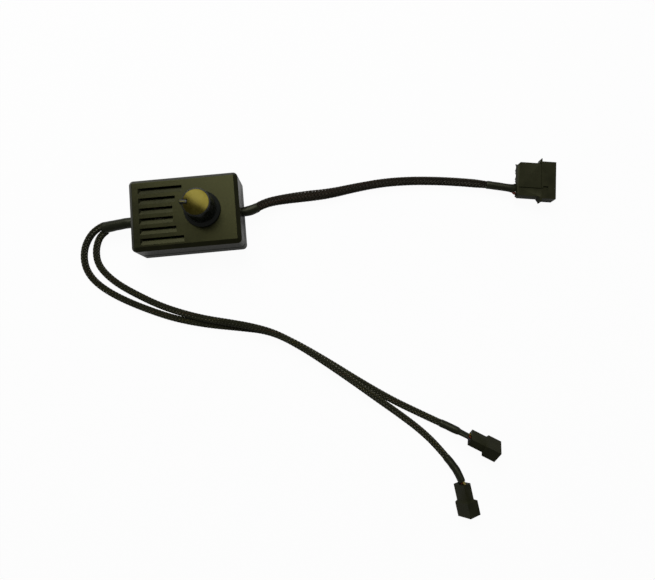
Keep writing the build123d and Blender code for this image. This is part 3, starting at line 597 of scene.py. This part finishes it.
# Routes of the leads, in millimetres from the case outwards
powerRoute = [
    (26, 0, 7.4), (34.2, 0, 7.4), (42.2, 4.9, 5.0), (52.5, 6.9, 2.9), (65, 7.3, 2.8), (80, 7.7, 2.7),
    (96, 10.0, 2.6), (112, 11.5, 2.5), (128, 11.2, 2.5), (144, 9.6, 2.5), (158, 7.5, 2.5),
    (168, 5.5, 2.8), (176.4, 3.3, 3.7), (184.3, 0.9, 4.6),
]
fanExitRoute = [(-26, 0, 7.4), (-34.5, 0, 7.4), (-42.5, -0.5, 6.5), (-49.5, -1.0, 5.3)]
fanRoutes = {
    1: [
        (-50.2, -0.2, 6.5), (-53.85, -1.35, 5.75), (-58.8, -5.0, 4.4), (-63.2, -11.6, 2.5), (-63.7, -20.4, 1.9),
        (-60.2, -28.5, 1.9), (-53.0, -35.8, 1.9), (-42.5, -42.8, 1.9), (-29.0, -49.8, 1.9), (-13.7, -56.5, 1.9),
        (4.1, -61.6, 1.9), (22.1, -65.0, 1.9), (38.5, -68.4, 1.9), (52.0, -75.8, 1.9), (69.8, -88.2, 1.9),
        (87.0, -101.2, 1.9), (103.4, -112.7, 1.9), (115.8, -120.1, 1.9), (125.4, -125.7, 2.2),
        (132.4, -129.6, 3.6), (137.6, -132.6, 5.0), (141.9, -135.3, 6.1),
    ],
    2: [
        (-49.98, -3.19, 3.95), (-52.6, -4.6, 3.5), (-55.4, -8.6, 2.6), (-56.8, -14.6, 2.0), (-55.7, -21.2, 1.9),
        (-51.6, -27.4, 1.9), (-44.6, -34.0, 1.9), (-35.0, -40.5, 1.9), (-22.4, -48.0, 2.0), (-9.0, -53.9, 3.2),
        (4.4, -58.5, 4.4), (17.6, -61.8, 5.1), (30.4, -65.3, 5.6), (43.0, -70.2, 5.75), (57.0, -79.4, 5.75),
        (70.5, -90.0, 5.75), (84.0, -101.2, 5.6), (96.2, -111.7, 4.6), (106.4, -120.4, 2.4), (115.6, -128.6, 1.9),
        (122.8, -136.2, 1.9), (128.2, -143.4, 2.1), (131.9, -149.0, 3.4), (134.8, -153.9, 5.0), (135.86, -158.2, 6.0),
    ],
}


def smoothLine(points):  # the points of the route's own spline
    curve = bpy.data.curves.new("route", "CURVE")
    curve.dimensions = "3D"
    curve.resolution_u = 20
    spline = curve.splines.new("NURBS")
    spline.points.add(len(points) - 1)
    for place, point in zip(spline.points, points):
        place.co = (*(c * mm for c in point), 1)
    spline.order_u = 3
    spline.use_endpoint_u = True
    holder = bpy.data.objects.new("route", curve)
    bpy.context.scene.collection.objects.link(holder)
    bpy.context.view_layer.update()
    mesh = bpy.data.meshes.new_from_object(holder.evaluated_get(bpy.context.evaluated_depsgraph_get()))
    line = np.array([vertex.co for vertex in mesh.vertices])
    bpy.data.objects.remove(holder)
    bpy.data.meshes.remove(mesh)
    return line


def lengthsAlong(line):
    return np.concatenate([[0], np.cumsum(np.linalg.norm(np.diff(line, axis=0), axis=1))])


def evenLine(line, step):
    along = lengthsAlong(line)
    marks = np.linspace(0, along[-1], int(along[-1] / step) + 1)
    return np.stack([np.interp(marks, along, line[:, k]) for k in range(3)], axis=1)


def unit(vectors):
    return vectors / np.linalg.norm(vectors, axis=-1, keepdims=True)


def crossFrame(line):  # level side vector and upper vector at each point of a line
    along = unit(np.gradient(line, axis=0))
    side = unit(np.cross(along, (0.0, 0.0, 1.0)))
    return side, np.cross(side, along)


def cutAt(line, first, second):  # index of the line's point nearest the middle of a run
    middle = (np.array(first) + np.array(second)) / 2 * mm
    return int(np.argmin(np.linalg.norm(line - middle, axis=1)))


def reached(line, before, after):  # a line carried on straight past its ends
    first = unit(line[0] - line[1]) * before * mm
    last = unit(line[-1] - line[-2]) * after * mm
    return np.vstack([line[:1] + first, line, line[-1:] + last])


def shortened(line, amount):  # a line without its last few millimetres
    along = lengthsAlong(line)
    return line[along <= along[-1] - amount * mm]


def tubeRings(line, widths, heights, steps, roll=0.0):
    side, upper = crossFrame(line)
    c, s = math.cos(math.radians(roll)), math.sin(math.radians(roll))
    side, upper = c * side + s * upper, c * upper - s * side
    turns = np.linspace(0, 2 * math.pi, steps, endpoint=False)
    across = np.cos(turns)[None, :, None] * side[:, None, :] * np.asarray(widths)[..., None]
    above = np.sin(turns)[None, :, None] * upper[:, None, :] * np.asarray(heights)[..., None]
    return line[:, None, :] + across + above


braidLook = {
    "ribbonThick": 0.16, "lift": 0.13, "step": 0.42, "filaments": 3,
    "valley": 0.35, "backWidth": 0.9, "backDepth": 0.3,  # shares of the ribbon's own size
}


def braidedSleeve(name, line, look, material):
    line = evenLine(line, braidLook["step"] * mm)
    side, upper = crossFrame(line)
    along = lengthsAlong(line)
    shares, radii = zip(*look["radii"])
    outer = np.interp(along / along[-1], shares, radii) * mm
    line[:, 2] = np.maximum(line[:, 2], outer)
    thick = braidLook["ribbonThick"] * mm
    lift = braidLook["lift"] * mm
    half = look["ribbon"] * outer / (2 * radii[0])
    bumps = 2 * braidLook["filaments"]
    valley, back, under = braidLook["valley"] * thick, braidLook["backWidth"], -braidLook["backDepth"] * thick
    section = [(-1 + 2 * j / bumps, thick if j % 2 else valley) for j in range(bumps + 1)]
    section += [(back, under), (-back, under)]
    points, faces = [], []
    for hand in (1, -1):
        for strand in range(look["strands"]):
            turn = hand * 2 * math.pi * along / (look["lay"] * mm) + 2 * math.pi * strand / look["strands"]
            wave = hand * lift * np.cos(2 * math.pi * look["strands"] * along / (look["lay"] * mm))
            out = np.cos(turn)[:, None] * side + np.sin(turn)[:, None] * upper
            centre = line + out * (outer - thick - lift + wave)[:, None]
            across = np.cross(unit(np.gradient(centre, axis=0)), out)
            rings = [centre + across * (x * half)[:, None] + out * y for x, y in section]
            faces += ringFaces(len(line), len(section), len(points))
            points.extend(np.stack(rings, axis=1).reshape(-1, 3))
    return addPiece(name, points, faces, material, 60)


bundleLook = {"step": 1.2, "steps": 14}


# Wires inside a braid, round a dark core, sized as shares of the braid's radius
def wireBundle(name, line, look):
    line = evenLine(line, bundleLook["step"] * mm)
    side, upper = crossFrame(line)
    along = lengthsAlong(line)
    shares, radii = zip(*look["radii"])
    outer = np.interp(along / along[-1], shares, radii)[:, None] * mm
    points, faces, paints = [], [], []
    strands = [(0.0, 0.0, look["core"], "black")] + look["wires"]
    steps = bundleLook["steps"]
    for turnStart, offset, radius, colour in strands:
        turn = math.radians(turnStart) + 2 * math.pi * along / (look["twist"] * mm)
        centre = line + (np.cos(turn)[:, None] * side + np.sin(turn)[:, None] * upper) * (offset * outer)
        thick = np.repeat(radius * outer, steps, axis=1)
        rings = tubeRings(centre, thick, thick, steps)
        added = ringFaces(len(line), steps, len(points))
        faces += added
        points.extend(rings.reshape(-1, 3))
        paints += [colour] * len(added)
    bundle = addPiece(name, points, faces, wirePaints["black"], 60)
    slots = {"black": 0}
    for colour in ("red", "yellow"):
        if colour in paints:
            slots[colour] = len(slots)
            bundle.data.materials.append(wirePaints[colour])
    bundle.data.polygons.foreach_set("material_index", [slots[colour] for colour in paints])
    return bundle


sleeveLook = {
    "step": 0.5, "steps": 40, "wall": 0.35, "lipDepth": 1.2, "lipPinch": 0.07, "lipRun": 0.6,
    "lump": 0.006, "waves": 7, "lobes": (1, 4), "pace": (0.35, 1.5),
}


def shrinkSleeve(name, line, sizes, seed, roll=0.0):  # tubing with slight lumps and open, rolled ends
    line = evenLine(line, sleeveLook["step"] * mm)
    count = len(line)
    steps = sleeveLook["steps"]
    share = np.linspace(0, 1, count)
    turns = np.linspace(0, 2 * math.pi, steps, endpoint=False)
    along = lengthsAlong(line) / mm
    rng = random.Random(seed)
    lumps = np.ones((count, steps))
    for wave in range(sleeveLook["waves"]):
        lobes = rng.randint(*sleeveLook["lobes"])
        pace = rng.uniform(*sleeveLook["pace"])
        phase = rng.uniform(0, 2 * math.pi)
        lumps += sleeveLook["lump"] * np.sin(lobes * turns[None, :] + pace * along[:, None] + phase)
    pinch = sleeveLook["lipPinch"]
    fromEnd = np.minimum(along, along[-1] - along) / sleeveLook["lipRun"] + 1e-9
    lip = np.minimum(1.0, 1 - pinch + pinch * np.sqrt(fromEnd))
    shape = lumps * lip[:, None]
    stops, widths, heights = zip(*sizes)
    wide = np.interp(share, stops, widths) * mm / 2
    tall = np.interp(share, stops, heights) * mm / 2
    outer = tubeRings(line, wide[:, None] * shape, tall[:, None] * shape, steps, roll)
    wall = sleeveLook["wall"] * mm
    inside = int(sleeveLook["lipDepth"] / sleeveLook["step"])
    hollow = tubeRings(line, (wide - wall)[:, None] * lumps, (tall - wall)[:, None] * lumps, steps, roll)
    start = [hollow[k] for k in range(inside, -1, -1)]
    end = [hollow[k] for k in range(count - 1, count - 2 - inside, -1)]
    rings = start + list(outer) + end
    points = np.concatenate(rings)
    return addPiece(name, points, ringFaces(len(rings), steps), shrink, 50)


powerLook = {
    "strands": 10, "lay": 20.0, "ribbon": 0.6, "twist": 260.0, "diameter": 5.0, "core": 0.78,
    "radii": [
        (0.0, 2.3), (0.08, 2.55), (0.15, 2.75), (0.23, 3.05), (0.28, 3.15), (0.34, 3.0),
        (0.41, 2.75), (0.5, 2.55), (0.9, 2.45), (0.95, 2.05), (1.0, 2.0),
    ],
    "wires": [(28.0, 0.42, 0.4, "red")],
    "exitSleeve": [(0.0, 5.2, 5.2), (0.3, 5.2, 5.2), (0.5, 5.6, 5.6), (1.0, 5.6, 5.6)],
    "plugSleeve": [(0.0, 4.6, 4.6), (0.5, 4.4, 4.4), (0.8, 4.5, 4.2), (1.0, 5.4, 3.4)],
    "exit": (30.0, 0.0, 7.4), "inPlug": 3.5, "plugReach": 3.6, "seeds": (3, 8),
}
fanLook = {
    "strands": 8, "lay": 15.5, "ribbon": 0.68, "twist": 48.0, "diameter": 3.8, "core": 0.7,
    "radii": [(0.0, 1.95), (1.0, 1.98)],
    "wires": [(90.0, 0.36, 0.38, "yellow"), (210.0, 0.36, 0.38, "red"), (330.0, 0.36, 0.38, "black")],
    "exitSleeve": [(0.0, 6.0, 6.0), (0.7, 6.0, 6.0), (1.0, 6.5, 6.5)],
    "plugSleeves": {
        1: [(0.0, 4.25, 4.25), (0.5, 4.4, 4.4), (0.62, 4.3, 4.1), (0.69, 4.1, 2.6), (1.0, 4.1, 2.4)],
        2: [(0.0, 4.25, 4.25), (0.6, 4.3, 4.3), (1.0, 4.9, 3.4)],
    },
    "rolls": {1: 51.7, 2: -61.0},
    "exitReach": 0.6, "inExit": 0.8, "inPlug": 9.0, "plugReach": 0.9, "exitSeed": 5, "plugSeed": 11,
}


def buildPowerLead():
    look = powerLook
    line = smoothLine(powerRoute)
    inside = shortened(line, look["inPlug"])
    braid = braidedSleeve("power_lead_braid", inside, look, powerFilament)
    attach(braid, "case", ["power_lead"])
    core = wireBundle("power_lead_wires", inside, look)
    attach(core)
    head = cutAt(line, powerRoute[1], powerRoute[2])
    tail = cutAt(line, powerRoute[-3], powerRoute[-2])
    exitSeed, plugSeed = look["seeds"]
    exitSleeve = shrinkSleeve("power_exit_shrink", line[: head + 1], look["exitSleeve"], exitSeed)
    attach(exitSleeve, "case", ["power_exit_sleeve"])
    plugLine = reached(line[tail:], 0, look["plugReach"])
    plugSleeve = shrinkSleeve("power_plug_shrink", plugLine, look["plugSleeve"], plugSeed)
    attach(plugSleeve, "case", ["power_plug_sleeve"])


def buildFanLeads():
    look = fanLook
    exitLine = reached(smoothLine(fanExitRoute), 0, look["exitReach"])
    exitSleeve = shrinkSleeve("fan_exit_shrink", exitLine, look["exitSleeve"], look["exitSeed"])
    attach(exitSleeve, "case", ["fan_exit_sleeve"])
    for number, route in fanRoutes.items():
        line = smoothLine(route)
        inside = reached(shortened(line, look["inPlug"]), look["inExit"], 0)
        braid = braidedSleeve(f"fan_lead_{number}_braid", inside, look, fanFilament)
        attach(braid, "case", [f"fan_lead_{number}"])
        core = wireBundle(f"fan_lead_{number}_wires", inside, look)
        attach(core)
        tail = cutAt(line, route[-4], route[-3])
        plugLine = reached(line[tail:], 0, look["plugReach"])
        sizes, roll = look["plugSleeves"][number], look["rolls"][number]
        sleeve = shrinkSleeve(f"fan_lead_{number}_shrink", plugLine, sizes, look["plugSeed"] + number, roll)
        attach(sleeve, "case", [f"fan_lead_{number}_sleeve"])
        plug = f"fan_plug_{number}"
        pieces = [core, sleeve, plugPieces[plug + "_housing"], nodes[plug + "_pins"]]
        pieces += [nodes[f"{plug}_wire_{colour}"] for colour in ("black", "red", "yellow")]
        if number == 1:
            pieces.append(exitSleeve)


buildPowerLead()
buildFanLeads()
print("leads made")

# Floor, world and lamps
studioLook = {
    "floorSize": 3.0, "floorDrop": 0.05 * mm, "floorColour": (0.7, 0.7, 0.7, 1), "floorRough": 0.9,
    "floorGlow": 0.96, "mirrored": 0.12, "ambient": 0.15,
}
keyLook = {
    "place": (-0.05, 0.485, 0.68), "aim": (0.01, 0.0, 0.03), "size": (0.85, 0.58), "spin": -52, "power": 7.3,
}


def addFloor():
    half = studioLook["floorSize"] / 2
    low = -studioLook["floorDrop"]
    corners = [(-half, -half, low), (half, -half, low), (half, half, low), (-half, half, low)]
    plain = {"Base Color": studioLook["floorColour"], "Roughness": studioLook["floorRough"]}
    paint = Paint("paleFloor", **plain, **{"Specular IOR Level": 0.0})
    seen = seenRays(paint)
    glow = paint.node("ShaderNodeEmission", {}, {"Color": (1, 1, 1, 1), "Strength": 1.0})
    mixing = {0: seen * studioLook["floorGlow"], 1: paint.surface(), 2: glow}
    paint.shown(paint.node("ShaderNodeMixShader", {}, mixing))
    floor = addPiece("floor", corners, [(0, 1, 2, 3)], paint.material)


# How far the background glows for a ray: wholly in the view or through glass, in part in a reflection
def seenRays(graph):
    kinds = ("Is Camera Ray", "Is Glossy Ray", "Is Transmission Ray")
    view, mirror, through = [graph.node("ShaderNodeLightPath", {}, {}, kind) for kind in kinds]
    return view + mirror * studioLook["mirrored"] + through


def setWorld():  # a dim room that is white to look at
    world = bpy.data.worlds.new("studio")
    bpy.context.scene.world = world
    world.use_nodes = True
    graph = Graph(world.node_tree)
    strength = studioLook["ambient"] + seenRays(graph) * (1 - studioLook["ambient"])
    background = next(n for n in world.node_tree.nodes if n.type == "BACKGROUND")
    background.inputs["Color"].default_value = (1, 1, 1, 1)
    graph.feed(background.inputs["Strength"], strength)


def addLamp(name, look):
    data = bpy.data.lights.new(name, "AREA")
    data.shape = "RECTANGLE"
    data.size, data.size_y = look["size"]
    data.energy = look["power"]
    lamp = bpy.data.objects.new(name, data)
    lamp.location = look["place"]
    facing = (Vector(look["aim"]) - Vector(look["place"])).to_track_quat("-Z", "Y")
    lamp.rotation_euler = (facing @ Quaternion((0, 0, 1), math.radians(look["spin"]))).to_euler()
    bpy.context.scene.collection.objects.link(lamp)


addFloor()
setWorld()
addLamp("key", keyLook)
bpy.context.scene.view_settings.view_transform = "Standard"
print("studio set")
